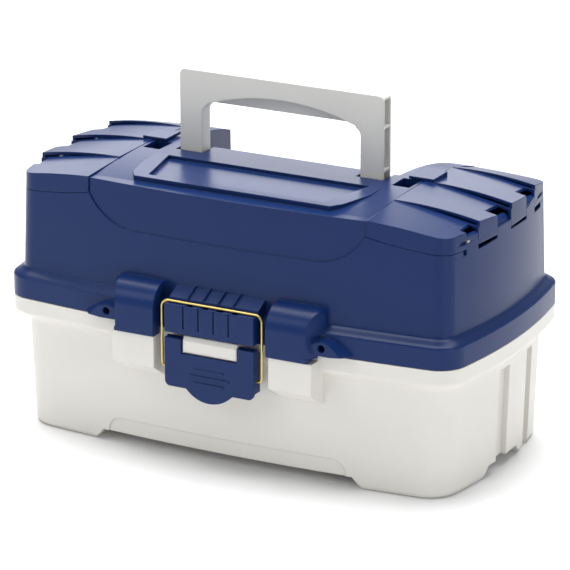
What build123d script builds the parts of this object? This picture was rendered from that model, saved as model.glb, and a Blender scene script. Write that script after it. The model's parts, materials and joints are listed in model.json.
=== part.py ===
from build123d import *
import os

# Fishing tackle box, in millimetres. X runs along its length, -Y is the front, +Z is up.
# The origin lies on the floor under the middle of the box.

# Overall outline: the rim of the base and the flange of the cover share it.
RIM_HALF_LENGTH = 187.5
RIM_HALF_DEPTH = 101.4
SIDE_BOW = 10.0
RIM_CORNER = 21.0
BODY_CORNER = 14.0
BASE_CORNER = 24.0
WALL = 2.5

# Base tub
FLOOR_HALF_LENGTH = 177.0
FLOOR_HALF_DEPTH = 91.7
BASE_WALL_HALF_LENGTH = 179.3
BASE_WALL_HALF_DEPTH = 93.8
FOOT_HEIGHT = 8.6
FOOT_INNER_X = 105.0
FOOT_INNER_Y = 27.0
FOOT_SLOPE = 8.0
BAND_BOTTOM = 81.0
BAND_SLOPE = 9.0
EASING = [(0.15, 0.06), (0.35, 0.28), (0.5, 0.5), (0.65, 0.72), (0.85, 0.94)]
SOLE_ROUNDING = [(0.0, 3.0), (1.2, 1.2), (3.6, 0.0)]
SPLIT_HEIGHT = 100.5
SPLIT_GAP = 0.4
GROOVE_DEPTH = 4.0
GROOVE_HEADROOM = 4.0
RELIEF_DEPTH = 0.9
RELIEF_TOP = 20.0
RELIEF_HALF_LENGTH = 96.0
RELIEF_CORNER = 10.0
END_GROOVES = [(-4.5, 16.0), (43.0, 11.5)]

# Cover
FLANGE_TOP = 117.0
FLANGE_SLOPE = 6.0
COVER_HALF_LENGTH = 180.5
COVER_HALF_DEPTH = 94.3
COVER_DRAFT = 2.3
COVER_BLANK_TOP = 206.0
CEILING = 164.5
CROWN = [(-80.0, 198.0), (-40.0, 201.2), (0.0, 202.0), (35.0, 200.8), (70.0, 195.5), (98.0, 187.0)]
FRONT_EDGE_HEIGHT = 197.3
FACE_STEP_DEPTH = 1.0
FACE_STEP_HALF_LENGTH = 72.0
FACE_STEP_HEIGHT = 164.2

# Access lids, one at each end of the cover
LID_SEAM = 110.0
LID_GAP = 0.4
LID_WALL = 2.3
RIM_INNER_HEIGHT = 187.0
RIM_MIDDLE = (136.0, 182.5)
RIM_OUTER_HEIGHT = 179.6
LID_SEGMENTS = [
    (-100.0, -44.0, (198.0, 194.2, 187.2), (201.2, 197.3, 190.6)),
    (-44.0, 3.0, (201.7, 200.1, 194.4), (202.2, 198.2, 191.2)),
    (3.0, 50.0, (202.6, 201.0, 195.2), (199.9, 197.2, 191.0)),
    (50.0, 100.0, (200.2, 199.6, 194.4), (187.2, 186.0, 184.5)),
]
LID_PIVOT_X = 172.8
LID_PIVOT_Z = 185.0
LID_PIN_RADIUS = 1.4
LID_KNUCKLE_RADIUS = 3.3
LID_TAB_RADIUS = 4.0
LID_SWING_RADIUS = 9.1
LID_SWING_HALF_DEPTH = 64.0
LID_TABS = [(-60.0, -46.0), (-20.0, 1.0), (30.0, 48.0)]
POCKET_FLOOR = 167.0
THUMB_FRONT = 3.0
THUMB_REAR = 25.0
THUMB_INNER = 98.5
THUMB_OUTER = 118.0
THUMB_TOP = 204.6
THUMB_THICKNESS = 2.0

# Carrying handle
HANDLE_HALF_LENGTH = 82.0
HANDLE_LEG = 18.0
HANDLE_DEPTH = 12.0
HANDLE_TOP = 262.0
GRIP_UNDERSIDE = 237.0
HANDLE_PIVOT_Y = 1.0
HANDLE_PIVOT_Z = 182.0
HANDLE_PIN_RADIUS = 2.5
HANDLE_WALL = 1.8
HANDLE_CORNER = 4.0
HANDLE_THROAT_CORNER = 6.0
LEG_CELLS = [(190.0, 206.0), (208.0, 238.0), (240.0, 259.0)]
GRIP_ARCH = 11.5
RECESS_FLOOR = 174.5
RECESS_REAR_FLOOR = 169.5
RECESS_HALF_LENGTH = (88.0, 93.0)
RECESS_CLEARANCE = 2.0

# Latch
LATCH_HALF_WIDTH = 35.5
BAIL_SIDE_PLAY = 4.5
SHOULDER_SIDE_PLAY = 9.5
LEVER_CHEEK = 4.0
LEVER_REAR = -102.0
LATCH_FRONT = -112.0
LATCH_PLATE = 2.4
LEVER_PIVOT_Y = -107.0
LEVER_PIVOT_Z = 95.0
LEVER_PIN_RADIUS = 1.5
LEVER_TOP = 98.0
LEVER_BOTTOM = 62.0
LEVER_WINDOW = 22.5
WINDOW_BOTTOM = 87.5
BAIL_HALF_LENGTH = LATCH_HALF_WIDTH + BAIL_SIDE_PLAY
BAIL_Y = -107.5
BAIL_PIVOT_Z = 75.0
BAIL_TOP_Z = 124.0
WIRE_RADIUS = 1.0

LATCH_BLOCK_X = (LATCH_HALF_WIDTH + SHOULDER_SIDE_PLAY + 1.0, 80.0)
LATCH_BLOCK_FRONT = -109.5
LATCH_BLOCK_Z = (62.0, 95.4)
SEAT_HALF_WIDTH = LEVER_WINDOW - 1.0
SEAT_FRONT = -110.6
SHOULDER_X = (LATCH_HALF_WIDTH + SHOULDER_SIDE_PLAY, 84.0)
SHOULDER_TOP = 133.0
SHOULDER_ROUNDING = 6.0
SKIRT_BOTTOM = 98.4
SKIRT_REAR = -RIM_HALF_DEPTH - 0.3
CATCH_HALF_WIDTH = LATCH_HALF_WIDTH
CATCH_BOTTOM = 102.2
CATCH_TOP = 123.0
CATCH_GROOVES = [-20.4, -8.3, 3.8, 15.9]

# Padlock ears on the cover's flange
EAR_X = 86.0
EAR_Z = 107.5
EAR_FRONT = -107.0
EAR_ROOT = -95.4
EAR_HOLE_RADIUS = 2.8

# Rear hinge
HINGE_Y = 104.5
HINGE_Z = 100.5
HINGE_PIN_RADIUS = 1.5
KNUCKLE_RADIUS = 4.0
KNUCKLE_LENGTH = 14.0
KNUCKLE_GAP = 0.4
HINGE_CENTRE_X = 96.0
HINGE_KNUCKLES = 3

# Trays and the arms that carry them. Each arm lies parallel to the line from the rear hinge
# to the cover's own pivot on the upper tray, so the trays stay level as the cover opens.
TRAY_HALF_LENGTH = 150.0
TRAY_FRONT = -81.0
TRAY_REAR = 45.0
TRAY_WALL = 2.0
LOWER_TRAY = (72.0, 103.0)
UPPER_TRAY = (104.5, 137.0)
ARM_RISE = 20.0
ARM_REACH = 97.0
ARM_PIVOT_Z = 88.5
ARM_PIVOTS_Y = {"rear": 76.0, "front": 20.0}
ARM_INNER_X = 154.0
ARM_THICKNESS = 3.0
ARM_HALF_WIDTH = 5.2
ARM_PIN_RADIUS = 2.0
ARM_BOSS_RADIUS = 4.5
PIN_HEAD_RADIUS = 3.6
PIN_HEAD = 1.5
SIDE_PLAY = 0.3
ARM_BOSS_INNER = ARM_INNER_X + ARM_THICKNESS + SIDE_PLAY
HANGER_X = (160.5, 163.5)
HANGER_HALF_WIDTH = 9.0
DIVIDER_THICKNESS = 1.5
DIVIDER_COLUMNS = [-75.0, 0.0, 75.0]
SLOT_COLUMNS = [-112.5, -75.0, -37.5, 0.0, 37.5, 75.0, 112.5]
SLOT_RIB = 1.2

FIT = 0.05
EPS = 0.01

base_top = SPLIT_HEIGHT - SPLIT_GAP / 2
cover_bottom = SPLIT_HEIGHT + SPLIT_GAP / 2


def eased(start, end):
    """Outline levels from one to another through an S-shaped moulded step."""
    between = [
        tuple(low + (high - low) * (rise if index == 0 else run) for index, (low, high) in enumerate(zip(start, end)))
        for rise, run in EASING
    ]
    return [start, *between, end]


cover_levels = [
    (cover_bottom, RIM_HALF_LENGTH, RIM_HALF_DEPTH, RIM_CORNER),
    *eased(
        (FLANGE_TOP - FLANGE_SLOPE / 4, RIM_HALF_LENGTH, RIM_HALF_DEPTH, RIM_CORNER),
        (FLANGE_TOP + FLANGE_SLOPE * 3 / 4, COVER_HALF_LENGTH, COVER_HALF_DEPTH, BODY_CORNER),
    ),
    (COVER_BLANK_TOP, COVER_HALF_LENGTH - COVER_DRAFT, COVER_HALF_DEPTH - COVER_DRAFT, BODY_CORNER),
]
body_levels = cover_levels[-2:]
base_wall_levels = [
    (height, FLOOR_HALF_LENGTH - inset, FLOOR_HALF_DEPTH - inset, BASE_CORNER - inset)
    for height, inset in SOLE_ROUNDING
] + [(BAND_BOTTOM, BASE_WALL_HALF_LENGTH, BASE_WALL_HALF_DEPTH, BASE_CORNER)]
base_levels = base_wall_levels[:-1] + eased(
    base_wall_levels[-1],
    (BAND_BOTTOM + BAND_SLOPE, RIM_HALF_LENGTH, RIM_HALF_DEPTH, RIM_CORNER),
) + [(base_top, RIM_HALF_LENGTH, RIM_HALF_DEPTH, RIM_CORNER)]
upper_link = (HINGE_Y - ARM_REACH, HINGE_Z + ARM_RISE)


def bowed_outline(height, half_length, half_depth, corner):
    """A level outline with four outward-bowed sides and rounded corners."""
    corner_x = half_length - SIDE_BOW
    corner_y = half_depth - SIDE_BOW
    with BuildSketch(Plane.XY.offset(height)) as outline:
        with BuildLine():
            ThreePointArc((-corner_x, -corner_y), (0, -half_depth), (corner_x, -corner_y))
            ThreePointArc((corner_x, -corner_y), (half_length, 0), (corner_x, corner_y))
            ThreePointArc((corner_x, corner_y), (0, half_depth), (-corner_x, corner_y))
            ThreePointArc((-corner_x, corner_y), (-half_length, 0), (-corner_x, -corner_y))
        make_face()
        fillet(outline.vertices(), corner)
    return outline.sketch


def moulding(levels, inset=0.0):
    """A body through the given outlines, each drawn in by inset."""
    outlines = [
        bowed_outline(height, half_length - inset, half_depth - inset, corner - inset)
        for height, half_length, half_depth, corner in levels
    ]
    with BuildPart() as body:
        loft(outlines, ruled=True)
    return body.part


def block(x_range, y_range, z_range):
    """A plain block between two corners."""
    centre = [(low + high) / 2 for low, high in (x_range, y_range, z_range)]
    size = [high - low for low, high in (x_range, y_range, z_range)]
    with BuildPart() as piece:
        with Locations(tuple(centre)):
            Box(*size)
    return piece.part


def rod_x(x_range, y, z, radius):
    """A round bar along X."""
    with BuildPart() as piece:
        with BuildSketch(Plane.YZ.offset(x_range[0])):
            with Locations((y, z)):
                Circle(radius)
        extrude(amount=x_range[1] - x_range[0])
    return piece.part


def rod_y(y_range, x, z, radius):
    """A round bar along Y."""
    with BuildPart() as piece:
        with BuildSketch(Plane.XZ.offset(-y_range[0])):
            with Locations((x, z)):
                Circle(radius)
        extrude(amount=y_range[0] - y_range[1])
    return piece.part


def sided(x_range, side):
    """The same X range on the right (side 1) or mirrored to the left (side -1)."""
    low, high = sorted((side * x_range[0], side * x_range[1]))
    return (low, high)


def slab_yz(points, x_range):
    """A prism whose outline lies in the YZ plane."""
    with BuildPart() as piece:
        with BuildSketch(Plane.YZ.offset(x_range[0])):
            with BuildLine():
                Polyline(*points, close=True)
            make_face()
        extrude(amount=x_range[1] - x_range[0])
    return piece.part


def slab_xz(points, y_range):
    """A prism whose outline lies in the XZ plane."""
    with BuildPart() as piece:
        with BuildSketch(Plane.XZ.offset(-y_range[0])):
            with BuildLine():
                Polyline(*points, close=True)
            make_face()
        extrude(amount=y_range[0] - y_range[1])
    return piece.part


def slab_xy(points, z_range):
    """A prism whose outline is level."""
    with BuildPart() as piece:
        with BuildSketch(Plane.XY.offset(z_range[0])):
            with BuildLine():
                Polyline(*points, close=True)
            make_face()
        extrude(amount=z_range[1] - z_range[0])
    return piece.part


SIDES = (-1, 1)
base_outer = moulding(base_levels)
base_inner_levels = [
    (FOOT_HEIGHT + WALL, FLOOR_HALF_LENGTH, FLOOR_HALF_DEPTH, BASE_CORNER),
    (BAND_BOTTOM + WALL, BASE_WALL_HALF_LENGTH, BASE_WALL_HALF_DEPTH, BASE_CORNER),
    (BAND_BOTTOM + BAND_SLOPE + WALL, RIM_HALF_LENGTH, RIM_HALF_DEPTH, RIM_CORNER),
    (SPLIT_HEIGHT, RIM_HALF_LENGTH, RIM_HALF_DEPTH, RIM_CORNER),
]
base_inner = moulding(base_inner_levels, WALL)
hinge_span = HINGE_KNUCKLES * (KNUCKLE_LENGTH + KNUCKLE_GAP) - KNUCKLE_GAP


def knuckle_ranges(side, cover_part):
    """X ranges of the rear hinge's knuckles: the base has the outer two, the cover the middle one."""
    start = side * HINGE_CENTRE_X - hinge_span / 2
    ranges = []
    for index in range(HINGE_KNUCKLES):
        if (index % 2 == 1) == cover_part:
            low = start + index * (KNUCKLE_LENGTH + KNUCKLE_GAP)
            ranges.append((low, low + KNUCKLE_LENGTH))
    return ranges


def lug_points(z_low, z_high):
    """Outline of the web that joins a rear knuckle to the moulding, seen along X."""
    root = RIM_HALF_DEPTH - SIDE_BOW / 2
    return [(root, z_low), (HINGE_Y, z_low), (HINGE_Y, z_high), (root, z_high)]


# Base tub: open box with a stepped-out rim band, corner feet, tray pivots and the latch's seat.
def end_grooves(side):
    """Shallow upright grooves in an end wall, of even depth over the wall's bow and draft."""
    with BuildPart() as grooves:
        for centre_y, width in END_GROOVES:
            add(block(sided((150, 200), side), (centre_y - width / 2, centre_y + width / 2), (-1, groove_top)))
        add(groove_core, mode=Mode.SUBTRACT)
    return grooves.part


def end_ribs(side):
    """The wall set in behind the end grooves, one wall thick."""
    with BuildPart() as ribs:
        for centre_y, width in END_GROOVES:
            reach = width / 2 + WALL
            add(block(sided((150, 200), side), (centre_y - reach, centre_y + reach), (FOOT_HEIGHT, groove_top + WALL)))
        add(base_outer, mode=Mode.INTERSECT)
        add(moulding(base_wall_levels, GROOVE_DEPTH + WALL), mode=Mode.SUBTRACT)
    return ribs.part


groove_top = BAND_BOTTOM - GROOVE_HEADROOM
groove_core = moulding(base_wall_levels, GROOVE_DEPTH)
with BuildPart() as foot_relief:
    with BuildSketch(Plane.XZ):
        with BuildLine():
            ThreePointArc(
                (-RELIEF_HALF_LENGTH, RELIEF_TOP - RELIEF_CORNER),
                (-RELIEF_HALF_LENGTH + 3, RELIEF_TOP - 3),
                (-RELIEF_HALF_LENGTH + RELIEF_CORNER, RELIEF_TOP),
            )
            Line((-RELIEF_HALF_LENGTH + RELIEF_CORNER, RELIEF_TOP), (RELIEF_HALF_LENGTH - RELIEF_CORNER, RELIEF_TOP))
            ThreePointArc(
                (RELIEF_HALF_LENGTH - RELIEF_CORNER, RELIEF_TOP),
                (RELIEF_HALF_LENGTH - 3, RELIEF_TOP - 3),
                (RELIEF_HALF_LENGTH, RELIEF_TOP - RELIEF_CORNER),
            )
            Polyline(
                (RELIEF_HALF_LENGTH, RELIEF_TOP - RELIEF_CORNER),
                (RELIEF_HALF_LENGTH, -1),
                (-RELIEF_HALF_LENGTH, -1),
                (-RELIEF_HALF_LENGTH, RELIEF_TOP - RELIEF_CORNER),
            )
        make_face()
    extrude(amount=RIM_HALF_DEPTH, both=True)
    add(moulding(base_wall_levels, RELIEF_DEPTH), mode=Mode.SUBTRACT)

with BuildPart() as tray_bosses:
    for side in SIDES:
        for pivot_y in ARM_PIVOTS_Y.values():
            add(rod_x(sided((ARM_BOSS_INNER, RIM_HALF_LENGTH), side), pivot_y, ARM_PIVOT_Z, ARM_BOSS_RADIUS + 1))
    add(base_outer, mode=Mode.INTERSECT)

with BuildPart() as base_tub:
    add(base_outer)
    for side in SIDES:
        low, high = sided(LATCH_BLOCK_X, side)
        add(slab_yz(
            [(-90, LATCH_BLOCK_Z[0]), (-94, LATCH_BLOCK_Z[0]), (LATCH_BLOCK_FRONT, LATCH_BLOCK_Z[0] + 10),
             (LATCH_BLOCK_FRONT, LATCH_BLOCK_Z[1]), (-90, LATCH_BLOCK_Z[1])],
            (low, high),
        ))
    add(slab_yz(
        [(-90, 76), (-96, 76), (SEAT_FRONT + 2.2, 83), (SEAT_FRONT + 2.2, WINDOW_BOTTOM + 0.6), (SEAT_FRONT, WINDOW_BOTTOM + 1),
         (SEAT_FRONT, LEVER_TOP - 1), (SEAT_FRONT + 2, base_top), (-90, base_top)],
        (-SEAT_HALF_WIDTH, SEAT_HALF_WIDTH),
    ))
    add(base_inner, mode=Mode.SUBTRACT)
    foot_toe_x = FOOT_INNER_X + FOOT_SLOPE / 2
    foot_heel_x = FOOT_INNER_X - FOOT_SLOPE / 2
    add(slab_xz(
        [(-foot_toe_x, 0), (-foot_heel_x, FOOT_HEIGHT), (foot_heel_x, FOOT_HEIGHT), (foot_toe_x, 0), (foot_toe_x, -1), (-foot_toe_x, -1)],
        (-120, 120),
    ), mode=Mode.SUBTRACT)
    foot_toe_y = FOOT_INNER_Y + FOOT_SLOPE / 2
    foot_heel_y = FOOT_INNER_Y - FOOT_SLOPE / 2
    add(slab_yz(
        [(-foot_toe_y, 0), (-foot_heel_y, FOOT_HEIGHT), (foot_heel_y, FOOT_HEIGHT), (foot_toe_y, 0), (foot_toe_y, -1), (-foot_toe_y, -1)],
        (-200, 200),
    ), mode=Mode.SUBTRACT)
    add(foot_relief.part, mode=Mode.SUBTRACT)
    add(tray_bosses.part)
    for side in SIDES:
        add(end_ribs(side))
        for knuckle in knuckle_ranges(side, False):
            add(rod_x(knuckle, HINGE_Y, HINGE_Z, KNUCKLE_RADIUS))
            add(slab_yz(lug_points(HINGE_Z - KNUCKLE_RADIUS, base_top), knuckle))
        for pivot_y in ARM_PIVOTS_Y.values():
            add(
                rod_x(sided((ARM_BOSS_INNER - 1, ARM_BOSS_INNER + 8), side), pivot_y, ARM_PIVOT_Z, ARM_PIN_RADIUS),
                mode=Mode.SUBTRACT,
            )
        add(rod_x(sided((60, 140), side), HINGE_Y, HINGE_Z, HINGE_PIN_RADIUS), mode=Mode.SUBTRACT)
        add(end_grooves(side), mode=Mode.SUBTRACT)
    add(
        rod_x((-SEAT_HALF_WIDTH - 1, SEAT_HALF_WIDTH + 1), LEVER_PIVOT_Y, LEVER_PIVOT_Z, LEVER_PIN_RADIUS),
        mode=Mode.SUBTRACT,
    )
base_tub.part.label = "base_tub"

# Cover: hollow shell with a flange, a crowned centre, a lidded pocket at each end and the handle's recess.
cover_blank = moulding(cover_levels)
inner_top = COVER_HALF_LENGTH - COVER_DRAFT * (CEILING - FLANGE_TOP) / (COVER_BLANK_TOP - FLANGE_TOP)
cover_inner = moulding([
    (cover_bottom - 1, RIM_HALF_LENGTH, RIM_HALF_DEPTH, RIM_CORNER),
    (FLANGE_TOP - 1.5, RIM_HALF_LENGTH, RIM_HALF_DEPTH, RIM_CORNER),
    (FLANGE_TOP + 2.5, COVER_HALF_LENGTH, COVER_HALF_DEPTH, BODY_CORNER),
    (CEILING, inner_top, COVER_HALF_DEPTH - (COVER_HALF_LENGTH - inner_top), BODY_CORNER),
], WALL)
pocket_blank = moulding(body_levels, WALL)

with BuildPart() as centre_top:
    with BuildSketch(Plane.YZ):
        with BuildLine():
            Polyline((CROWN[-1][0], CROWN[-1][1]), (110, 90), (-110, 90), (-110, FRONT_EDGE_HEIGHT), CROWN[0])
            Spline(*CROWN)
        make_face()
    extrude(amount=LID_SEAM, both=True)


def rim_prism(raise_by, inner_x, outer_x, above):
    """The space under (or above) the curved rim that carries the right-hand access lid."""
    with BuildPart() as prism:
        with BuildSketch(Plane.XZ):
            with BuildLine():
                start = (inner_x, RIM_INNER_HEIGHT + raise_by)
                end = (outer_x, RIM_OUTER_HEIGHT + raise_by)
                ThreePointArc(start, (RIM_MIDDLE[0], RIM_MIDDLE[1] + raise_by), end)
                far = COVER_BLANK_TOP + 10 if above else 90
                Polyline(end, (outer_x, far), (inner_x, far), start)
            make_face()
        extrude(amount=120, both=True)
    return prism.part


right_rim = rim_prism(0, LID_SEAM - EPS, RIM_HALF_LENGTH + 5, False)
with BuildPart() as face_step:
    with BuildSketch(Plane.XZ):
        with BuildLine():
            lower_left = (-FACE_STEP_HALF_LENGTH, FACE_STEP_HEIGHT)
            lower_right = (FACE_STEP_HALF_LENGTH, FACE_STEP_HEIGHT)
            upper_left = (-LID_SEAM, RIM_INNER_HEIGHT)
            upper_right = (LID_SEAM, RIM_INNER_HEIGHT)
            Line(lower_left, lower_right)
            ThreePointArc(lower_right, (FACE_STEP_HALF_LENGTH + 26, FACE_STEP_HEIGHT + 9), upper_right)
            Polyline(upper_right, (LID_SEAM, 220), (-LID_SEAM, 220), upper_left)
            ThreePointArc(upper_left, (-FACE_STEP_HALF_LENGTH - 26, FACE_STEP_HEIGHT + 9), lower_left)
        make_face()
    extrude(amount=110)
    add(moulding(cover_levels, FACE_STEP_DEPTH), mode=Mode.SUBTRACT)

slot_inner = HANDLE_HALF_LENGTH - HANDLE_LEG - RECESS_CLEARANCE
slot_outer = HANDLE_HALF_LENGTH + RECESS_CLEARANCE
slot_front = HANDLE_PIVOT_Y - HANDLE_DEPTH / 2 - 3
slot_rear = HANDLE_PIVOT_Y + HANDLE_DEPTH / 2 + 2


def shoulder(side):
    """A bulged shoulder beside the latch, with a ramp at its outer end."""
    inner, outer = SHOULDER_X
    with BuildPart() as bulge:
        with BuildSketch(Plane.YZ.offset(side * inner)):
            with BuildLine():
                Polyline((-85, SHOULDER_TOP), (-85, SKIRT_BOTTOM + 10), (LATCH_FRONT, SKIRT_BOTTOM + 10), (LATCH_FRONT, 116))
                ThreePointArc((LATCH_FRONT, 116), (-107, 127.5), (-94, SHOULDER_TOP))
                Line((-94, SHOULDER_TOP), (-85, SHOULDER_TOP))
            make_face()
        extrude(amount=side * (outer - inner))
        outer_face = bulge.faces().sort_by(Axis.X)[-1 if side > 0 else 0]
        fillet(outer_face.edges().filter_by(GeomType.CIRCLE), SHOULDER_ROUNDING)
        add(slab_yz(
            [(SKIRT_REAR, SKIRT_BOTTOM), (LATCH_FRONT, SKIRT_BOTTOM), (LATCH_FRONT, SKIRT_BOTTOM + 11), (SKIRT_REAR, SKIRT_BOTTOM + 11)],
            sided(SHOULDER_X, side),
        ))
        add(slab_xy(
            [(side * 74, -116), (side * 90, -116), (side * 90, -93), (side * outer, -95)],
            (80, 150),
        ), mode=Mode.SUBTRACT)
    return bulge.part


def ear(side):
    """A padlock ear on the flange: a long diamond that narrows towards its face."""
    outlines = []
    for y, half_length, bottom, top in ((EAR_ROOT, 23, 100.9, 114.5), (EAR_FRONT, 15, 102.0, 112.6)):
        with BuildSketch(Plane.XZ.offset(-y)) as outline:
            with BuildLine():
                Polyline(
                    (side * EAR_X - half_length, EAR_Z - 4.5), (side * EAR_X - 7, top - 2.2), (side * EAR_X, top),
                    (side * EAR_X + 7, top - 2.2), (side * EAR_X + half_length, EAR_Z - 4.5),
                    (side * EAR_X + 6, bottom), (side * EAR_X - 6, bottom), close=True,
                )
            make_face()
        outlines.append(outline.sketch)
    with BuildPart() as lug:
        loft(outlines, ruled=True)
    return lug.part


def pocket(side):
    """The open space of one end pocket, inside the cover's walls."""
    with BuildPart() as space:
        add(pocket_blank)
        add(block(sided((LID_SEAM + WALL, 200), side), (-120, 120), (POCKET_FLOOR, 220)), mode=Mode.INTERSECT)
    return space.part


def hinge_tabs(side):
    """The cover's tabs around an access lid's hinge pin, trimmed to the cover's outline."""
    with BuildPart() as tabs:
        for tab in LID_TABS:
            add(rod_y(tab, side * LID_PIVOT_X, LID_PIVOT_Z, LID_TAB_RADIUS))
            add(block(sided((LID_PIVOT_X - LID_TAB_RADIUS, 190), side), tab, (POCKET_FLOOR - EPS, LID_PIVOT_Z)))
        add(cover_blank, mode=Mode.INTERSECT)
    return tabs.part


with BuildPart() as recess:
    add(slab_yz(
        [(slot_rear, RECESS_FLOOR), (COVER_HALF_DEPTH + 1, RECESS_REAR_FLOOR), (COVER_HALF_DEPTH + 1, 220), (slot_rear, 220)],
        (-RECESS_HALF_LENGTH[1], RECESS_HALF_LENGTH[1]),
    ))
    add(slab_xy(
        [(-RECESS_HALF_LENGTH[0], slot_rear - 1), (RECESS_HALF_LENGTH[0], slot_rear - 1),
         (RECESS_HALF_LENGTH[1], COVER_HALF_DEPTH + 2), (-RECESS_HALF_LENGTH[1], COVER_HALF_DEPTH + 2)],
        (160, 230),
    ), mode=Mode.INTERSECT)

with BuildPart() as cover_top:
    add(centre_top.part)
    add(right_rim)
    add(mirror(right_rim, about=Plane.YZ))
    add(cover_blank, mode=Mode.INTERSECT)
    add(slab_xy([(-78, -79), (78, -79), (84, -70), (91, -43), (91, -20), (-91, -20), (-91, -43), (-84, -70)], (190, 201.8)))

with BuildPart() as cover:
    add(cover_top.part)
    for side in SIDES:
        add(shoulder(side))
        add(ear(side))
    add(slab_yz(
        [(-90, CATCH_BOTTOM), (LATCH_FRONT, CATCH_BOTTOM), (LATCH_FRONT, CATCH_TOP - 1),
         (LATCH_FRONT + 0.8, CATCH_TOP - FIT), (BAIL_Y + 2.2, CATCH_TOP - FIT), (BAIL_Y + 3.2, BAIL_TOP_Z + 2), (-94, 131), (-90, 131)],
        (-CATCH_HALF_WIDTH, CATCH_HALF_WIDTH),
    ))
    for x in CATCH_GROOVES:
        add(block((x - 0.7, x + 0.7), (LATCH_FRONT - 1, LATCH_FRONT + 1.2), (CATCH_BOTTOM + 4, BAIL_TOP_Z + 1)), mode=Mode.SUBTRACT)
        add(block((x + 1.5, x + 6.5), (LATCH_FRONT + 1.2, BAIL_Y + 3), (CATCH_TOP - 5, BAIL_TOP_Z)), mode=Mode.SUBTRACT)
        add(slab_yz([(-90, 127), (BAIL_Y + 2.2, CATCH_TOP), (BAIL_Y + 2.6, BAIL_TOP_Z + 4), (-90, 135)], (x - 0.7, x + 0.7)))
    add(cover_inner, mode=Mode.SUBTRACT)
    add(face_step.part, mode=Mode.SUBTRACT)
    add(slab_xy([(-70, -72), (70, -72), (81, -24), (-81, -24)], (199, 220)), mode=Mode.SUBTRACT)
    add(recess.part, mode=Mode.SUBTRACT)
    add(block((-104, 104), (-84, -18), (CEILING - EPS, 193)), mode=Mode.SUBTRACT)
    add(block((-slot_inner + WALL, slot_inner - WALL), (-19, slot_rear - WALL), (CEILING - EPS, 196)), mode=Mode.SUBTRACT)
    add(slab_yz(
        [(slot_front, CEILING - EPS), (COVER_HALF_DEPTH - 12, CEILING - EPS),
         (COVER_HALF_DEPTH - 12, RECESS_REAR_FLOOR - WALL), (slot_rear, RECESS_FLOOR - WALL), (slot_front, RECESS_FLOOR - WALL)],
        (-slot_outer, slot_outer),
    ), mode=Mode.SUBTRACT)
    for side in SIDES:
        add(block(sided((slot_inner, slot_outer), side), (slot_front, slot_rear + EPS), (RECESS_FLOOR, 220)), mode=Mode.SUBTRACT)
        add(block(sided((slot_outer + WALL, 106), side), (-15.5, 5.5), (CEILING - EPS, 190)), mode=Mode.SUBTRACT)
        add(block(sided((98, 106), side), (8, 84), (CEILING - EPS, 184)), mode=Mode.SUBTRACT)
        add(block(sided((94, 107.5), side), (-15, THUMB_FRONT + 1), (194, 220)), mode=Mode.SUBTRACT)
        add(pocket(side), mode=Mode.SUBTRACT)
        add(
            rod_y((-LID_SWING_HALF_DEPTH, LID_SWING_HALF_DEPTH), side * LID_PIVOT_X, LID_PIVOT_Z, LID_SWING_RADIUS),
            mode=Mode.SUBTRACT,
        )
        add(hinge_tabs(side))
        add(rod_y((-90, 90), side * LID_PIVOT_X, LID_PIVOT_Z, LID_PIN_RADIUS), mode=Mode.SUBTRACT)
        add(block(
            sided(HANGER_X, side),
            (upper_link[0] - HANGER_HALF_WIDTH, upper_link[0] + HANGER_HALF_WIDTH),
            (upper_link[1], CEILING + EPS),
        ))
        add(rod_x(sided(HANGER_X, side), upper_link[0], upper_link[1], HANGER_HALF_WIDTH))
        add(
            rod_x(sided((150, 170), side), upper_link[0], upper_link[1], ARM_PIN_RADIUS + FIT),
            mode=Mode.SUBTRACT,
        )
        for knuckle in knuckle_ranges(side, True):
            add(rod_x(knuckle, HINGE_Y, HINGE_Z, KNUCKLE_RADIUS))
            add(slab_yz(lug_points(cover_bottom, HINGE_Z + KNUCKLE_RADIUS), knuckle))
        add(rod_x(sided((60, 140), side), HINGE_Y, HINGE_Z, HINGE_PIN_RADIUS + FIT), mode=Mode.SUBTRACT)
        add(
            rod_x(sided((slot_inner - WALL, slot_outer + WALL), side), HANDLE_PIVOT_Y, HANDLE_PIVOT_Z, HANDLE_PIN_RADIUS),
            mode=Mode.SUBTRACT,
        )
        add(
            rod_y((-120, -96), side * EAR_X, EAR_Z, EAR_HOLE_RADIUS),
            mode=Mode.SUBTRACT,
        )
cover.part.label = "cover"



# Access lids: each is a thin shell of four shingled segments, hinged along its outer end.
def lid_blank(drop, inset, inner_x):
    """The right-hand lid's outer form, lowered by drop and drawn in by inset."""
    outer_x = COVER_HALF_LENGTH + 2
    middle_x = (LID_SEAM + outer_x) / 2
    segments = []
    for front_y, rear_y, front_tops, rear_tops in LID_SEGMENTS:
        faces = []
        for y, tops in ((front_y, front_tops), (rear_y, rear_tops)):
            with BuildSketch(Plane.XZ.offset(-y)) as section:
                with BuildLine():
                    first = (LID_SEAM, tops[0] - drop)
                    middle = (middle_x, tops[1] - drop)
                    last = (outer_x, tops[2] - drop)
                    ThreePointArc(first, middle, last)
                    Polyline(last, (outer_x, 160), (LID_SEAM, 160), first)
                make_face()
            faces.append(section.sketch)
        with BuildPart() as segment:
            loft(faces, ruled=True)
        segments.append(segment.part)
    with BuildPart() as blank:
        for segment in segments:
            add(segment)
        add(block((inner_x, outer_x), (-120, 120), (150, 220)), mode=Mode.INTERSECT)
        add(moulding(body_levels, inset), mode=Mode.INTERSECT)
    return blank.part


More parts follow.
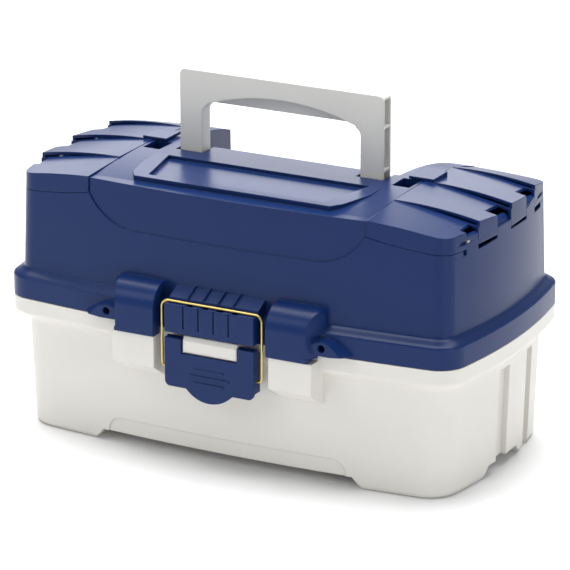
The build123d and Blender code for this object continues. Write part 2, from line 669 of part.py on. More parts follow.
lid_inner_x = LID_SEAM + LID_GAP
lid_keep = rim_prism(LID_GAP, LID_SEAM - EPS, RIM_HALF_LENGTH + 5, True)
with BuildPart() as right_access_lid:
    add(lid_blank(0, 0, lid_inner_x))
    add(lid_blank(LID_WALL, LID_WALL, lid_inner_x + LID_WALL), mode=Mode.SUBTRACT)
    for low, high in ((LID_TABS[0][1], LID_TABS[1][0]), (LID_TABS[1][1], LID_TABS[2][0])):
        add(rod_y((low + SIDE_PLAY, high - SIDE_PLAY), LID_PIVOT_X, LID_PIVOT_Z, LID_KNUCKLE_RADIUS))
    add(lid_keep, mode=Mode.INTERSECT)
    add(moulding([
        (150, COVER_HALF_LENGTH, COVER_HALF_DEPTH, BODY_CORNER),
        (COVER_BLANK_TOP, COVER_HALF_LENGTH - COVER_DRAFT, COVER_HALF_DEPTH - COVER_DRAFT, BODY_CORNER),
    ]), mode=Mode.INTERSECT)
    add(block((lid_inner_x, THUMB_OUTER), (THUMB_FRONT, THUMB_REAR), (THUMB_TOP - 7, THUMB_TOP)))
    add(block((THUMB_INNER, THUMB_OUTER), (THUMB_FRONT, THUMB_REAR), (THUMB_TOP - THUMB_THICKNESS, THUMB_TOP)))
    for tab in LID_TABS:
        add(
            block((LID_PIVOT_X - LID_TAB_RADIUS - SIDE_PLAY, 200), (tab[0] - SIDE_PLAY, tab[1] + SIDE_PLAY), (150, 220)),
            mode=Mode.SUBTRACT,
        )
    add(rod_y((-90, 90), LID_PIVOT_X, LID_PIVOT_Z, LID_PIN_RADIUS + FIT), mode=Mode.SUBTRACT)
right_access_lid.part.label = "right_access_lid"

with BuildPart() as left_access_lid:
    add(mirror(right_access_lid.part, about=Plane.YZ))
left_access_lid.part.label = "left_access_lid"

with BuildPart() as right_lid_hinge_pin:
    add(rod_y((LID_TABS[0][0], LID_TABS[-1][1]), LID_PIVOT_X, LID_PIVOT_Z, LID_PIN_RADIUS))
right_lid_hinge_pin.part.label = "right_lid_hinge_pin"

with BuildPart() as left_lid_hinge_pin:
    add(mirror(right_lid_hinge_pin.part, about=Plane.YZ))
left_lid_hinge_pin.part.label = "left_lid_hinge_pin"

# Carrying handle: a bow of open channel section that folds back on two pins.
handle_front = HANDLE_PIVOT_Y - HANDLE_DEPTH / 2
handle_rear = HANDLE_PIVOT_Y + HANDLE_DEPTH / 2
leg_inner = HANDLE_HALF_LENGTH - HANDLE_LEG
with BuildPart() as handle:
    with BuildSketch(Plane.XZ.offset(-handle_front)) as bow:
        with Locations((0, (HANDLE_PIVOT_Z + HANDLE_TOP) / 2)):
            Rectangle(2 * HANDLE_HALF_LENGTH, HANDLE_TOP - HANDLE_PIVOT_Z)
        fillet(bow.vertices().group_by(Axis.Y)[-1], HANDLE_CORNER)
    extrude(amount=-HANDLE_DEPTH)
    with BuildSketch(Plane.XZ.offset(-handle_front + 1)) as gap:
        with Locations((0, (HANDLE_PIVOT_Z - 10 + GRIP_UNDERSIDE) / 2)):
            Rectangle(2 * leg_inner, GRIP_UNDERSIDE - HANDLE_PIVOT_Z + 10)
        fillet(gap.vertices().group_by(Axis.Y)[-1], HANDLE_THROAT_CORNER)
    extrude(amount=-HANDLE_DEPTH - 2, mode=Mode.SUBTRACT)
    for side in SIDES:
        add(rod_x(sided((leg_inner, HANDLE_HALF_LENGTH), side), HANDLE_PIVOT_Y, HANDLE_PIVOT_Z, HANDLE_DEPTH / 2))
        for low, high in LEG_CELLS:
            add(
                block(
                    sided((leg_inner + 2.3, HANDLE_HALF_LENGTH + 1), side),
                    (handle_front + HANDLE_WALL, handle_rear - HANDLE_WALL),
                    (low, high),
                ),
                mode=Mode.SUBTRACT,
            )
        add(
            rod_x(sided((leg_inner - 1, HANDLE_HALF_LENGTH + 1), side), HANDLE_PIVOT_Y, HANDLE_PIVOT_Z, HANDLE_PIN_RADIUS + FIT),
            mode=Mode.SUBTRACT,
        )
    add(
        block(
            (-leg_inner + 3, leg_inner - 3),
            (handle_front + HANDLE_WALL, handle_rear - HANDLE_WALL),
            (GRIP_UNDERSIDE - 5, HANDLE_TOP - 2.2),
        ),
        mode=Mode.SUBTRACT,
    )
    with BuildSketch(Plane.XZ.offset(-handle_front + 1)):
        with BuildLine():
            ThreePointArc((-leg_inner + 4, GRIP_UNDERSIDE + 1), (0, GRIP_UNDERSIDE + GRIP_ARCH), (leg_inner - 4, GRIP_UNDERSIDE + 1))
            Polyline(
                (leg_inner - 4, GRIP_UNDERSIDE + 1),
                (leg_inner - 4, GRIP_UNDERSIDE - 5),
                (-leg_inner + 4, GRIP_UNDERSIDE - 5),
                (-leg_inner + 4, GRIP_UNDERSIDE + 1),
            )
        make_face()
    extrude(amount=-HANDLE_WALL - 2, mode=Mode.SUBTRACT)
handle.part.label = "handle"

with BuildPart() as handle_pins:
    for side in SIDES:
        add(rod_x(sided((slot_inner - WALL, slot_outer + WALL), side), HANDLE_PIVOT_Y, HANDLE_PIVOT_Z, HANDLE_PIN_RADIUS))
handle_pins.part.label = "handle_pins"

# Latch: a lever on the base and a wire bail that hooks over the cover's catch.
with BuildPart() as latch_lever:
    with BuildSketch(Plane.XZ.offset(-LATCH_FRONT)) as plate:
        with Locations((0, (LEVER_BOTTOM + LEVER_TOP) / 2)):
            Rectangle(2 * LATCH_HALF_WIDTH, LEVER_TOP - LEVER_BOTTOM)
        fillet(plate.vertices().group_by(Axis.Y)[0], 4)
        with BuildLine():
            Line((-20, LEVER_BOTTOM + 2), (20, LEVER_BOTTOM + 2))
            ThreePointArc((20, LEVER_BOTTOM + 2), (0, LEVER_BOTTOM - 8.5), (-20, LEVER_BOTTOM + 2))
        make_face()
        with Locations((0, LEVER_TOP)):
            Rectangle(2 * LEVER_WINDOW, 2 * (LEVER_TOP - WINDOW_BOTTOM), mode=Mode.SUBTRACT)
    extrude(amount=-LATCH_PLATE)
    for side in SIDES:
        add(block(sided((LATCH_HALF_WIDTH - LEVER_CHEEK, LATCH_HALF_WIDTH), side), (LATCH_FRONT, LEVER_REAR), (LEVER_BOTTOM + 4, LEVER_PIVOT_Z)))
        add(block(sided((LEVER_WINDOW, LATCH_HALF_WIDTH - LEVER_CHEEK + 1), side), (LATCH_FRONT, LEVER_PIVOT_Y), (LEVER_PIVOT_Z - 7, LEVER_TOP)))
        add(rod_x(sided((LEVER_WINDOW, LATCH_HALF_WIDTH), side), LEVER_PIVOT_Y, LEVER_PIVOT_Z, 3.6))
        add(
            rod_x(sided((LATCH_HALF_WIDTH - LEVER_CHEEK - 1, LATCH_HALF_WIDTH + 1), side), BAIL_Y, BAIL_PIVOT_Z, WIRE_RADIUS + FIT),
            mode=Mode.SUBTRACT,
        )
    add(
        rod_x((-LATCH_HALF_WIDTH + 2, LATCH_HALF_WIDTH - 2), LEVER_PIVOT_Y, LEVER_PIVOT_Z, LEVER_PIN_RADIUS + FIT),
        mode=Mode.SUBTRACT,
    )
    for z, half in ((77.3, 12), (72.4, 16), (67.4, 12)):
        add(block((-half, half), (LATCH_FRONT - 0.8, LATCH_FRONT), (z - 0.8, z + 0.8)))
latch_lever.part.label = "latch_lever"

with BuildPart() as latch_lever_pin:
    add(rod_x((-LATCH_HALF_WIDTH + 2.5, LATCH_HALF_WIDTH - 2.5), LEVER_PIVOT_Y, LEVER_PIVOT_Z, LEVER_PIN_RADIUS))
latch_lever_pin.part.label = "latch_lever_pin"

with BuildPart() as latch_bail:
    with BuildLine(Plane.XZ.offset(-BAIL_Y)) as bail_path:
        FilletPolyline(
            (-LATCH_HALF_WIDTH + LEVER_CHEEK - 1, BAIL_PIVOT_Z),
            (-BAIL_HALF_LENGTH, BAIL_PIVOT_Z),
            (-BAIL_HALF_LENGTH, BAIL_TOP_Z),
            (BAIL_HALF_LENGTH, BAIL_TOP_Z),
            (BAIL_HALF_LENGTH, BAIL_PIVOT_Z),
            (LATCH_HALF_WIDTH - LEVER_CHEEK + 1, BAIL_PIVOT_Z),
            radius=[3, 5, 5, 3],
        )
    with BuildSketch(Plane(bail_path.line @ 0, z_dir=bail_path.line % 0)):
        Circle(WIRE_RADIUS)
    sweep()
latch_bail.part.label = "latch_bail"

# Rear hinge pins
with BuildPart() as left_cover_hinge_pin:
    add(rod_x((-HINGE_CENTRE_X - hinge_span / 2, -HINGE_CENTRE_X + hinge_span / 2), HINGE_Y, HINGE_Z, HINGE_PIN_RADIUS))
left_cover_hinge_pin.part.label = "left_cover_hinge_pin"

with BuildPart() as right_cover_hinge_pin:
    add(rod_x((HINGE_CENTRE_X - hinge_span / 2, HINGE_CENTRE_X + hinge_span / 2), HINGE_Y, HINGE_Z, HINGE_PIN_RADIUS))
right_cover_hinge_pin.part.label = "right_cover_hinge_pin"

# Trays, their dividers, and the arms that carry them
TRAY_CORNER = 10.0
TRAY_FLOOR = 2.0
ROW_WALL = 1.6
DIVIDER_DROP = 3.0
row_wall_y = (TRAY_FRONT + TRAY_REAR) / 2
lower_pivots = {name: (y - ARM_REACH / 2, ARM_PIVOT_Z + ARM_RISE / 2) for name, y in ARM_PIVOTS_Y.items()}
upper_pivots = {name: (y - ARM_REACH, ARM_PIVOT_Z + ARM_RISE) for name, y in ARM_PIVOTS_Y.items()}
rows = [
    (TRAY_FRONT + TRAY_WALL, row_wall_y - ROW_WALL / 2),
    (row_wall_y + ROW_WALL / 2, TRAY_REAR - TRAY_WALL),
]


def tray(z_range, pivots):
    """An open tray with a lengthwise wall, divider slots and holes for its pivots."""
    bottom, top = z_range
    centre_y = (TRAY_FRONT + TRAY_REAR) / 2
    depth = TRAY_REAR - TRAY_FRONT
    slot = DIVIDER_THICKNESS / 2 + 0.15
    with BuildPart() as body:
        with BuildSketch(Plane.XY.offset(bottom)):
            with Locations((0, centre_y)):
                RectangleRounded(2 * TRAY_HALF_LENGTH, depth, TRAY_CORNER)
        extrude(amount=top - bottom)
        with BuildSketch(Plane.XY.offset(bottom + TRAY_FLOOR)):
            with Locations((0, centre_y)):
                RectangleRounded(2 * (TRAY_HALF_LENGTH - TRAY_WALL), depth - 2 * TRAY_WALL, TRAY_CORNER - TRAY_WALL)
        extrude(amount=top - bottom, mode=Mode.SUBTRACT)
        with Locations((0, row_wall_y, (bottom + top) / 2)):
            Box(2 * TRAY_HALF_LENGTH - TRAY_WALL, ROW_WALL, top - bottom - 2 * EPS)
        for x in SLOT_COLUMNS:
            for low, high in rows:
                for rib_y in (low + SLOT_RIB / 2, high - SLOT_RIB / 2):
                    for offset_x in (-slot - SLOT_RIB / 2, slot + SLOT_RIB / 2):
                        with Locations((x + offset_x, rib_y, (bottom + top) / 2 - 1)):
                            Box(SLOT_RIB, SLOT_RIB + 0.4, top - bottom - 3)
        for side in SIDES:
            for y, z in pivots:
                add(
                    rod_x(sided((TRAY_HALF_LENGTH - TRAY_WALL - 1, ARM_INNER_X), side), y, z, ARM_PIN_RADIUS),
                    mode=Mode.SUBTRACT,
                )
    return body.part


def spacers(pivots):
    """Bushes on a tray's pivots that hold the arms clear of its end walls."""
    with BuildPart() as group:
        for side in SIDES:
            for y, z in pivots:
                add(rod_x(sided((TRAY_HALF_LENGTH, ARM_INNER_X - SIDE_PLAY), side), y, z, ARM_BOSS_RADIUS))
                add(
                    rod_x(sided((TRAY_HALF_LENGTH - 1, ARM_INNER_X), side), y, z, ARM_PIN_RADIUS),
                    mode=Mode.SUBTRACT,
                )
    return group.part


def dividers(z_range):
    """Loose dividers standing in some of a tray's slots."""
    bottom = z_range[0] + TRAY_FLOOR
    top = z_range[1] - DIVIDER_DROP
    with BuildPart() as group:
        for x in DIVIDER_COLUMNS:
            for low, high in rows:
                with Locations((x, (low + high) / 2, (bottom + top) / 2)):
                    Box(DIVIDER_THICKNESS, high - low - 0.4, top - bottom)
    return group.part


def arm(side, name):
    """A flat arm from the base past the lower tray's pivot to the upper tray's."""
    base_y = ARM_PIVOTS_Y[name]
    ends = [(base_y, ARM_PIVOT_Z), upper_pivots[name]]
    length = (ARM_REACH ** 2 + ARM_RISE ** 2) ** 0.5
    across = (ARM_RISE / length * ARM_HALF_WIDTH, ARM_REACH / length * ARM_HALF_WIDTH)
    inner, outer = ARM_INNER_X, ARM_INNER_X + ARM_THICKNESS
    corners = [
        (ends[0][0] + across[0], ends[0][1] + across[1]),
        (ends[1][0] + across[0], ends[1][1] + across[1]),
        (ends[1][0] - across[0], ends[1][1] - across[1]),
        (ends[0][0] - across[0], ends[0][1] - across[1]),
    ]
    with BuildPart() as bar:
        add(slab_yz(corners, sided((inner, outer), side)))
        for y, z in ends:
            add(rod_x(sided((inner, outer), side), y, z, ARM_HALF_WIDTH))
        for y, z in ends + [lower_pivots[name]]:
            add(
                rod_x(sided((inner - 1, outer + 1), side), y, z, ARM_PIN_RADIUS + FIT),
                mode=Mode.SUBTRACT,
            )
    return bar.part


def rivets(places):
    """Headed pins, each from its seat through an arm to the head; places give seat X, head X, side, y and z."""
    with BuildPart() as group:
        for seat_x, head_x, side, y, z in places:
            head_low, head_high = sorted((head_x, head_x + (PIN_HEAD if head_x > seat_x else -PIN_HEAD)))
            add(rod_x(sided((min(seat_x, head_low), max(seat_x, head_high)), side), y, z, ARM_PIN_RADIUS))
            add(rod_x(sided((head_low, head_high), side), y, z, PIN_HEAD_RADIUS))
    return group.part


arm_outer_head = ARM_INNER_X + ARM_THICKNESS + SIDE_PLAY
arm_inner_head = ARM_INNER_X - SIDE_PLAY
tray_seat = TRAY_HALF_LENGTH - TRAY_WALL
upper_tray_pivots = [*upper_pivots.values(), upper_link]
with BuildPart() as lower_tray:
    add(tray(LOWER_TRAY, lower_pivots.values()))
lower_tray.part.label = "lower_tray"

with BuildPart() as lower_tray_spacers:
    add(spacers(lower_pivots.values()))
lower_tray_spacers.part.label = "lower_tray_spacers"

with BuildPart() as upper_tray:
    add(tray(UPPER_TRAY, upper_tray_pivots))
upper_tray.part.label = "upper_tray"

with BuildPart() as upper_tray_spacers:
    add(spacers(upper_tray_pivots))
upper_tray_spacers.part.label = "upper_tray_spacers"

with BuildPart() as lower_tray_dividers:
    add(dividers(LOWER_TRAY))
lower_tray_dividers.part.label = "lower_tray_dividers"

with BuildPart() as upper_tray_dividers:
    add(dividers(UPPER_TRAY))
upper_tray_dividers.part.label = "upper_tray_dividers"

with BuildPart() as base_arm_pins:
    add(rivets([(ARM_BOSS_INNER + 7, arm_inner_head, side, y, ARM_PIVOT_Z) for side in SIDES for y in ARM_PIVOTS_Y.values()]))
base_arm_pins.part.label = "base_arm_pins"

with BuildPart() as lower_tray_pins:
    add(rivets([(tray_seat, arm_outer_head, side, y, z) for side in SIDES for y, z in lower_pivots.values()]))
lower_tray_pins.part.label = "lower_tray_pins"

with BuildPart() as upper_tray_pins:
    add(rivets([(tray_seat, arm_outer_head, side, y, z) for side in SIDES for y, z in upper_pivots.values()]))
upper_tray_pins.part.label = "upper_tray_pins"

with BuildPart() as cover_link_pins:
    for side in SIDES:
        add(rod_x(sided((tray_seat, HANGER_X[1] + SIDE_PLAY), side), *upper_link, ARM_PIN_RADIUS))
        add(rod_x(sided((HANGER_X[1] + SIDE_PLAY, HANGER_X[1] + SIDE_PLAY + PIN_HEAD), side), *upper_link, PIN_HEAD_RADIUS))
cover_link_pins.part.label = "cover_link_pins"

pieces = [
    base_tub, cover, right_access_lid, left_access_lid, right_lid_hinge_pin, left_lid_hinge_pin, handle, handle_pins,
    latch_lever, latch_lever_pin, latch_bail, left_cover_hinge_pin, right_cover_hinge_pin, lower_tray, upper_tray,
    lower_tray_spacers, upper_tray_spacers,
    lower_tray_dividers, upper_tray_dividers, base_arm_pins, lower_tray_pins, upper_tray_pins, cover_link_pins,
]
for side, side_name in ((-1, "left"), (1, "right")):
    for name in ARM_PIVOTS_Y:
        with BuildPart() as tray_arm:
            add(arm(side, name))
        tray_arm.part.label = f"{side_name}_{name}_arm"
        pieces.append(tray_arm)

os.makedirs("parts", exist_ok=True)
for piece in pieces:
    export_step(piece.part, f"parts/{piece.part.label}.step")
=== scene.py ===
import json

import bmesh
import bpy
from mathutils import Matrix, Vector


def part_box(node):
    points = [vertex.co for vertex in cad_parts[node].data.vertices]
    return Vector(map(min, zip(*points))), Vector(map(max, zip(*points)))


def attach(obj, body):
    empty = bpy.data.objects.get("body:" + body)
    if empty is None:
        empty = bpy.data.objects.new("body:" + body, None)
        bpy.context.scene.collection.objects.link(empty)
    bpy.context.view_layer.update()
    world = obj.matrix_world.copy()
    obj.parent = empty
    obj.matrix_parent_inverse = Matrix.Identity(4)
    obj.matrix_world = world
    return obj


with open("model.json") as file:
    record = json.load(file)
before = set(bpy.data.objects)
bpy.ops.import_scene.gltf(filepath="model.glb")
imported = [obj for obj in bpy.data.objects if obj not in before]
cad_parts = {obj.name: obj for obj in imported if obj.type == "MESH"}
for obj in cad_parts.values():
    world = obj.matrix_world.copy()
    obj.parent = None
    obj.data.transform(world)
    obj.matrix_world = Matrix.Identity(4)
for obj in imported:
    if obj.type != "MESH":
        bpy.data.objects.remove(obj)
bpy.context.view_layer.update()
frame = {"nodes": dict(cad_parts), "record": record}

nodes = frame["nodes"]

# Colours, as linear red, green and blue
NAVY = (0.0055, 0.0235, 0.1080)
CREAM_WHITE = (0.720, 0.700, 0.655)
HANDLE_GREY = (0.720, 0.710, 0.665)
TRAY_GREY = (0.600, 0.615, 0.590)
DIVIDER_GREY = (0.520, 0.550, 0.560)
ARM_GREY = (0.430, 0.450, 0.450)
BRASS = (0.640, 0.480, 0.160)
STEEL = (0.560, 0.560, 0.550)

# Moulded plastic: texture scales in cycles per metre, depths in metres
CLOUD_SCALE = 18.0
SPECKLE_SCALE = 1400.0
SCUFF_SCALE = 90.0
GRAIN_DEPTH = 0.00012
EDGE_RADIUS = 0.0011
EDGE_SAMPLES = 4
# Painted highlight: how much lighter the base colour is made along edges
EDGE_HIGHLIGHT_PAINT = 1.5

# How far the rounded normal has turned where an edge begins, and where it is sharpest, as a cosine
EDGE_STARTS = 0.97
EDGE_SHARPEST = 0.75

# How much each pattern changes the roughness of the plastic
PLASTIC_POLISH = 0.05
SCUFF_DULLING = 0.06
SPECKLE_DULLING = 0.04
EDGE_POLISH = 0.06

# Drawn metal: streaks and patches in cycles per metre, then their part in the roughness
STREAK_ACROSS = 2500.0
STREAK_ALONG = 60.0
STREAK_BUMP = 0.06
PATCH_SCALE = 120.0
PATCH_DARKEST = 0.82
PATCH_LIGHTEST = 1.08
METAL_POLISH = 0.08
STREAK_DULLING = 0.10
PATCH_DULLING = 0.08

# Shoulder skirts, in metres; their tops are sunk into the shoulders
SKIRT_INNER_X = 0.0450
SKIRT_OUTER_X = 0.0770
SKIRT_FRONT = -0.11195
SKIRT_BACK = -0.1019
SKIRT_LOW = 0.0960
SKIRT_HIGH = 0.0992
BLOCK_ROUNDING = 0.0004

# Divider guide ribs, in metres; their backs and feet are sunk into the tray
CELL_PITCH = 0.0750
CELL_COLUMNS = range(-2, 2)
GUIDE_END_GAP = 0.0125
GUIDE_PITCH = 0.0125
GUIDE_COUNT = 5
GUIDE_WIDTH = 0.0012
GUIDE_DEPTH = 0.0010
GUIDE_WALL = 0.0018
GUIDE_BOTTOM = 0.0018
GUIDE_TOP_GAP = 0.0040

# Studio: lengths in metres, lamps in watts
FLOOR_REACH = 8.0
FLOOR_PAINT = (0.93, 0.93, 0.93, 1)
FLOOR_ROUGHNESS = 0.75
SURROUND = (0.95, 0.97, 1.0, 1)
SURROUND_STRENGTH = 0.38
LIGHT_AIM = (0, 0, 0.12)
SOFTBOXES = {
    "overhead_softbox": {"place": (-0.2, 0.3, 2.0), "size": (2.0, 1.6), "watts": 66},
    "rear_softbox": {"place": (-1.4, 2.64, 1.15), "size": (2.4, 1.2), "watts": 26},
    "front_left_softbox": {"place": (-1.4, -1.6, 1.5), "size": (1.0, 1.0), "watts": 10},
    "right_strip_light": {"place": (1.9, -0.95, 0.45), "size": (0.25, 0.8), "watts": 7},
}
CAMERA_PLACE = (1.1786, -2.2153, 0.9573)
CAMERA_AIM = (0.0064, -0.0100, 0.1126)
CAMERA_LENS = 230.9
CAMERA_SENSOR = 36.0
CAMERA_REACH = 100.0


class Wire:
    """A shader value that can be used in plain arithmetic. Each operation adds its Math node."""

    def __init__(self, tree, socket):
        self.tree = tree
        self.socket = socket

    def _join(self, operation, first, second):
        return self.node("ShaderNodeMath", {"operation": operation}, {0: first, 1: second})

    def __add__(self, other):
        return self._join("ADD", self, other)

    def __radd__(self, other):
        return self._join("ADD", other, self)

    def __sub__(self, other):
        return self._join("SUBTRACT", self, other)

    def __rsub__(self, other):
        return self._join("SUBTRACT", other, self)

    def __mul__(self, other):
        return self._join("MULTIPLY", self, other)

    def __rmul__(self, other):
        return self._join("MULTIPLY", other, self)

    def node(self, kind, settings, inputs, output=0):
        """Any other node: its settings first, then the values or wires of its named sockets."""
        return add_node(self.tree, kind, settings, inputs, output)


def connect(tree, value, slot):
    """Link a wire to a socket, or set the socket's own value."""
    if isinstance(value, Wire):
        tree.links.new(value.socket, slot)
    else:
        slot.default_value = value


def add_node(tree, kind, settings, inputs, output=0):
    """A node with its settings and its inputs, given by socket name or index."""
    node = tree.nodes.new(kind)
    for name, value in settings.items():
        setattr(node, name, value)
    for name, value in inputs.items():
        connect(tree, value, node.inputs[name])
    return Wire(tree, node.outputs[output])


def mix_colour(wire, factor, first, second):
    """Blend two colours by a wire."""
    node = wire.tree.nodes.new("ShaderNodeMix")
    node.data_type = "RGBA"
    colour_inputs = [slot for slot in node.inputs if slot.type == "RGBA"]
    connect(wire.tree, factor, node.inputs[0])
    connect(wire.tree, first, colour_inputs[0])
    connect(wire.tree, second, colour_inputs[1])
    colour_output = next(slot for slot in node.outputs if slot.type == "RGBA")
    return Wire(wire.tree, colour_output)


def scaled(colour, factor):
    """A colour made lighter or darker."""
    return (colour[0] * factor, colour[1] * factor, colour[2] * factor, 1.0)


def noise(place, scale, detail=2.0, roughness=0.5):
    """Cloudy noise over the piece, about 0.5 on average."""
    inputs = {"Vector": place, "Scale": scale, "Detail": detail, "Roughness": roughness}
    return place.node("ShaderNodeTexNoise", {}, inputs)


def new_material(name):
    """An empty material, its tree, its shader and a wire with the place on the piece."""
    material = bpy.data.materials.new(name)
    material.use_nodes = True
    tree = material.node_tree
    place = add_node(tree, "ShaderNodeTexCoord", {}, {}, "Object")
    return material, tree, tree.nodes["Principled BSDF"], place


def moulded_plastic(name, colour, roughness, cloud, grain, painted_edge_highlight=0.0, specular=0.5):
    """Injection-moulded plastic: faint cloudiness, fine spark-eroded grain, scuffs, glossier edges, and a
    painted highlight that lightens the base colour along the edges.
    """
    material, tree, shader, place = new_material(name)
    clouds = noise(place, CLOUD_SCALE, detail=3.0)
    speckle = noise(place, SPECKLE_SCALE)
    scuffs = noise(place, SCUFF_SCALE, detail=6.0, roughness=0.7)
    rounded = add_node(tree, "ShaderNodeBevel", {"samples": EDGE_SAMPLES}, {"Radius": EDGE_RADIUS})
    true_normal = add_node(tree, "ShaderNodeNewGeometry", {}, {}, "True Normal")
    turn = place.node(
        "ShaderNodeVectorMath", {"operation": "DOT_PRODUCT"}, {0: rounded, 1: true_normal}, "Value"
    )
    edge = place.node(
        "ShaderNodeMapRange",
        {},
        {"Value": turn, "From Min": EDGE_STARTS, "From Max": EDGE_SHARPEST, "To Min": 0.0, "To Max": 1.0},
    )
    tone = mix_colour(place, clouds, scaled(colour, 1 - cloud), scaled(colour, 1 + cloud))
    # Painted highlight: the base colour is lightened along the rounded edges
    highlighted_tone = mix_colour(place, edge * painted_edge_highlight, tone, scaled(colour, EDGE_HIGHLIGHT_PAINT))
    connect(tree, highlighted_tone, shader.inputs["Base Color"])
    dulled = SCUFF_DULLING * scuffs + SPECKLE_DULLING * speckle - EDGE_POLISH * edge
    connect(tree, roughness - PLASTIC_POLISH + dulled, shader.inputs["Roughness"])
    height = speckle + 0.5 * clouds
    bumped = place.node(
        "ShaderNodeBump",
        {},
        {"Strength": grain, "Distance": GRAIN_DEPTH, "Height": height, "Normal": rounded},
    )
    connect(tree, bumped, shader.inputs["Normal"])
    shader.inputs["Specular IOR Level"].default_value = specular
    return material


def drawn_metal(name, colour, roughness, streak_axis=0):
    """Drawn metal: fine streaks along its length and small dull patches."""
    material, tree, shader, place = new_material(name)
    stretch = [STREAK_ACROSS] * 3
    stretch[streak_axis] = STREAK_ALONG
    streaks = noise(place.node("ShaderNodeMapping", {}, {"Vector": place, "Scale": stretch}), 1.0)
    patches = noise(place, PATCH_SCALE, detail=4.0)
    tone = mix_colour(place, patches, scaled(colour, PATCH_DARKEST), scaled(colour, PATCH_LIGHTEST))
    connect(tree, tone, shader.inputs["Base Color"])
    dulled = STREAK_DULLING * streaks + PATCH_DULLING * patches
    connect(tree, roughness - METAL_POLISH + dulled, shader.inputs["Roughness"])
    shader.inputs["Metallic"].default_value = 1.0
    bumped = place.node(
        "ShaderNodeBump", {}, {"Strength": STREAK_BUMP, "Distance": GRAIN_DEPTH, "Height": streaks}
    )
    connect(tree, bumped, shader.inputs["Normal"])
    return material


def link_object(name, data):
    """A new object in the scene."""
    holder = bpy.data.objects.new(name, data)
    bpy.context.scene.collection.objects.link(holder)
    return holder


def joined(name, meshes):
    """Several meshes of one material as one object."""
    form = bmesh.new()
    for mesh in meshes:
        form.from_mesh(mesh)
    whole = bpy.data.meshes.new(name)
    form.to_mesh(whole)
    form.free()
    whole.materials.append(meshes[0].materials[0])
    return link_object(name, whole)


def rounded_block(low, high, finish):
    """A moulded block between two corners, with its edges rounded."""
    form = bmesh.new()
    bmesh.ops.create_cube(form, size=1.0)
    place = Matrix.Translation((low + high) / 2) @ Matrix.Diagonal((high - low).to_4d())
    bmesh.ops.transform(form, matrix=place, verts=form.verts)
    bmesh.ops.bevel(
        form, geom=form.edges[:], offset=BLOCK_ROUNDING, segments=2, profile=0.5, affect="EDGES"
    )
    mesh = bpy.data.meshes.new("rounded_block")
    form.to_mesh(mesh)
    form.free()
    mesh.materials.append(finish)
    return mesh


def shoulder_skirts(finish):
    """The lowest strip of the two shoulders, under the cover's flange on each side of the latch."""
    strips = []
    for side in (-1, 1):
        left, right = sorted((side * SKIRT_INNER_X, side * SKIRT_OUTER_X))
        low = Vector((left, SKIRT_FRONT, SKIRT_LOW))
        high = Vector((right, SKIRT_BACK, SKIRT_HIGH))
        strips.append(rounded_block(low, high, finish))
    piece = joined("shoulder_skirts", strips)
    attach(piece, "cover")


def rib_tree(finish):
    """A row of upright ribs: count, first place, pitch and size are the tree's inputs."""
    tree = bpy.data.node_groups.new("guide_rib_row", "GeometryNodeTree")
    inputs = {"Geometry": "Geometry", "Count": "Int", "First": "Vector", "Pitch": "Vector", "Size": "Vector"}
    for name, kind in inputs.items():
        tree.interface.new_socket(name, in_out="INPUT", socket_type="NodeSocket" + kind)
    tree.interface.new_socket("Geometry", in_out="OUTPUT", socket_type="NodeSocketGeometry")
    entry = tree.nodes.new("NodeGroupInput")
    line = tree.nodes.new("GeometryNodeMeshLine")
    line.mode = "OFFSET"
    rib = tree.nodes.new("GeometryNodeMeshCube")
    place = tree.nodes.new("GeometryNodeInstanceOnPoints")
    real = tree.nodes.new("GeometryNodeRealizeInstances")
    paint = tree.nodes.new("GeometryNodeSetMaterial")
    paint.inputs["Material"].default_value = finish
    end = tree.nodes.new("NodeGroupOutput")
    for source, output, target, slot in (
        (entry, "Count", line, "Count"),
        (entry, "First", line, "Start Location"),
        (entry, "Pitch", line, "Offset"),
        (entry, "Size", rib, "Size"),
        (line, "Mesh", place, "Points"),
        (rib, "Mesh", place, "Instance"),
        (place, "Instances", real, "Geometry"),
        (real, "Geometry", paint, "Geometry"),
        (paint, "Geometry", end, "Geometry"),
    ):
        tree.links.new(source.outputs[output], target.inputs[slot])
    return tree


def rib_row(tree, first, size):
    """One row of ribs as a plain mesh."""
    carrier = link_object("rib_carrier", bpy.data.meshes.new("rib_carrier"))
    modifier = carrier.modifiers.new("ribs", "NODES")
    modifier.node_group = tree
    identifiers = {slot.name: slot.identifier for slot in tree.interface.items_tree if slot.in_out == "INPUT"}
    values = {"Count": GUIDE_COUNT, "First": first, "Pitch": (GUIDE_PITCH, 0.0, 0.0), "Size": size}
    for name, value in values.items():
        modifier[identifiers[name]] = value
    evaluated = carrier.evaluated_get(bpy.context.evaluated_depsgraph_get())
    mesh = bpy.data.meshes.new_from_object(evaluated)
    carrier.modifiers.remove(modifier)
    bpy.data.objects.remove(carrier)
    return mesh


def divider_guides(tree, tray):
    """Upright ribs on the front and back walls of a tray, where its dividers can be set."""
    low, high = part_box(tray)
    front = low[1] + GUIDE_WALL + GUIDE_DEPTH / 2
    back = high[1] - GUIDE_WALL - GUIDE_DEPTH / 2
    foot = low[2] + GUIDE_BOTTOM
    head = high[2] - GUIDE_TOP_GAP
    size = (GUIDE_WIDTH, GUIDE_DEPTH, head - foot)
    rows = [
        rib_row(tree, (column * CELL_PITCH + GUIDE_END_GAP, wall, (foot + head) / 2), size)
        for wall in (front, back)
        for column in CELL_COLUMNS
    ]
    piece = joined(tray + "_divider_guides", rows)
    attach(piece, tray)


def aimed(holder, place, aim):
    """Put a lamp or camera in its place, facing a point."""
    holder.location = place
    holder.rotation_euler = (Vector(aim) - Vector(place)).to_track_quat("-Z", "Y").to_euler()


def softbox(name, place, size, watts):
    """A rectangular soft lamp that faces the box."""
    lamp = bpy.data.lights.new(name, "AREA")
    lamp.shape = "RECTANGLE"
    lamp.size, lamp.size_y = size
    lamp.energy = watts
    aimed(link_object(name, lamp), place, LIGHT_AIM)


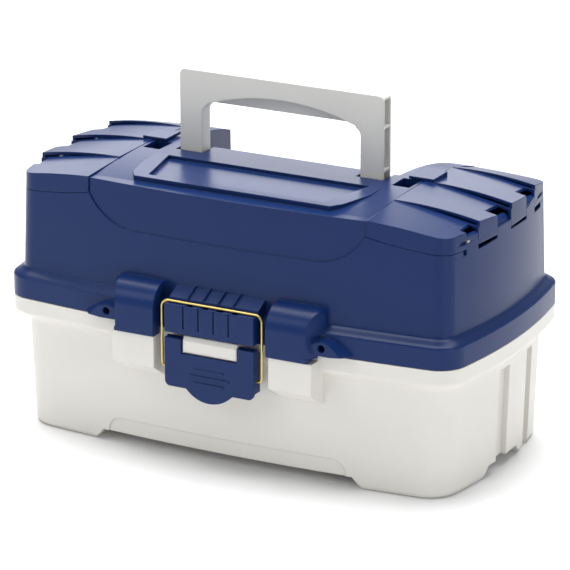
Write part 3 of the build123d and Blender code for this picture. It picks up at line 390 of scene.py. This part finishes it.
def studio():
    """A pale floor, a pale surround and soft lamps."""
    floor_mesh = bpy.data.meshes.new("studio_floor")
    corners = [(x * FLOOR_REACH, y * FLOOR_REACH, 0) for x, y in ((-1, -1), (1, -1), (1, 1), (-1, 1))]
    floor_mesh.from_pydata(corners, [], [(0, 1, 2, 3)])
    floor = link_object("studio_floor", floor_mesh)
    paint = bpy.data.materials.new("floor_paint")
    paint.use_nodes = True
    shader = paint.node_tree.nodes["Principled BSDF"]
    shader.inputs["Base Color"].default_value = FLOOR_PAINT
    shader.inputs["Roughness"].default_value = FLOOR_ROUGHNESS
    floor_mesh.materials.append(paint)
    world = bpy.data.worlds.new("studio_surround")
    bpy.context.scene.world = world
    world.use_nodes = True
    background = world.node_tree.nodes["Background"]
    background.inputs["Color"].default_value = SURROUND
    background.inputs["Strength"].default_value = SURROUND_STRENGTH
    for name, settings in SOFTBOXES.items():
        softbox(name, **settings)


def camera():
    """The camera, its lens and its place."""
    lens = bpy.data.cameras.new("camera")
    lens.sensor_width = CAMERA_SENSOR
    lens.lens = CAMERA_LENS
    lens.clip_end = CAMERA_REACH
    holder = link_object("camera", lens)
    aimed(holder, CAMERA_PLACE, CAMERA_AIM)
    bpy.context.scene.camera = holder


finishes = {
    # The navy plastic gets a painted highlight along its edges
    "blue_plastic": moulded_plastic(
        "navy_polypropylene", NAVY, 0.30, cloud=0.07, grain=0.10, painted_edge_highlight=0.6, specular=0.20
    ),
    "white_plastic": moulded_plastic(
        "cream_polypropylene", CREAM_WHITE, 0.40, cloud=0.025, grain=0.06, specular=0.4
    ),
    "grey_plastic": moulded_plastic("handle_grey_plastic", HANDLE_GREY, 0.42, cloud=0.03, grain=0.08),
    "tray_plastic": moulded_plastic("tray_grey_plastic", TRAY_GREY, 0.38, cloud=0.03, grain=0.06),
    "divider_plastic": moulded_plastic("divider_grey_plastic", DIVIDER_GREY, 0.40, cloud=0.03, grain=0.06),
    "arm_plastic": moulded_plastic("arm_grey_plastic", ARM_GREY, 0.42, cloud=0.03, grain=0.08),
    "steel": drawn_metal("bright_steel", STEEL, 0.32),
    "brass_wire": drawn_metal("brass_plated_wire", BRASS, 0.28),
}
for subpart in frame["record"]["subparts"]:
    mesh = nodes[subpart["node"]].data
    mesh.materials.clear()
    mesh.materials.append(finishes[subpart["material_slot"]])

shoulder_skirts(finishes["blue_plastic"])
guide_tree = rib_tree(finishes["tray_plastic"])
divider_guides(guide_tree, "lower_tray")
divider_guides(guide_tree, "upper_tray")

bpy.context.scene.view_settings.view_transform = "Standard"
studio()
camera()
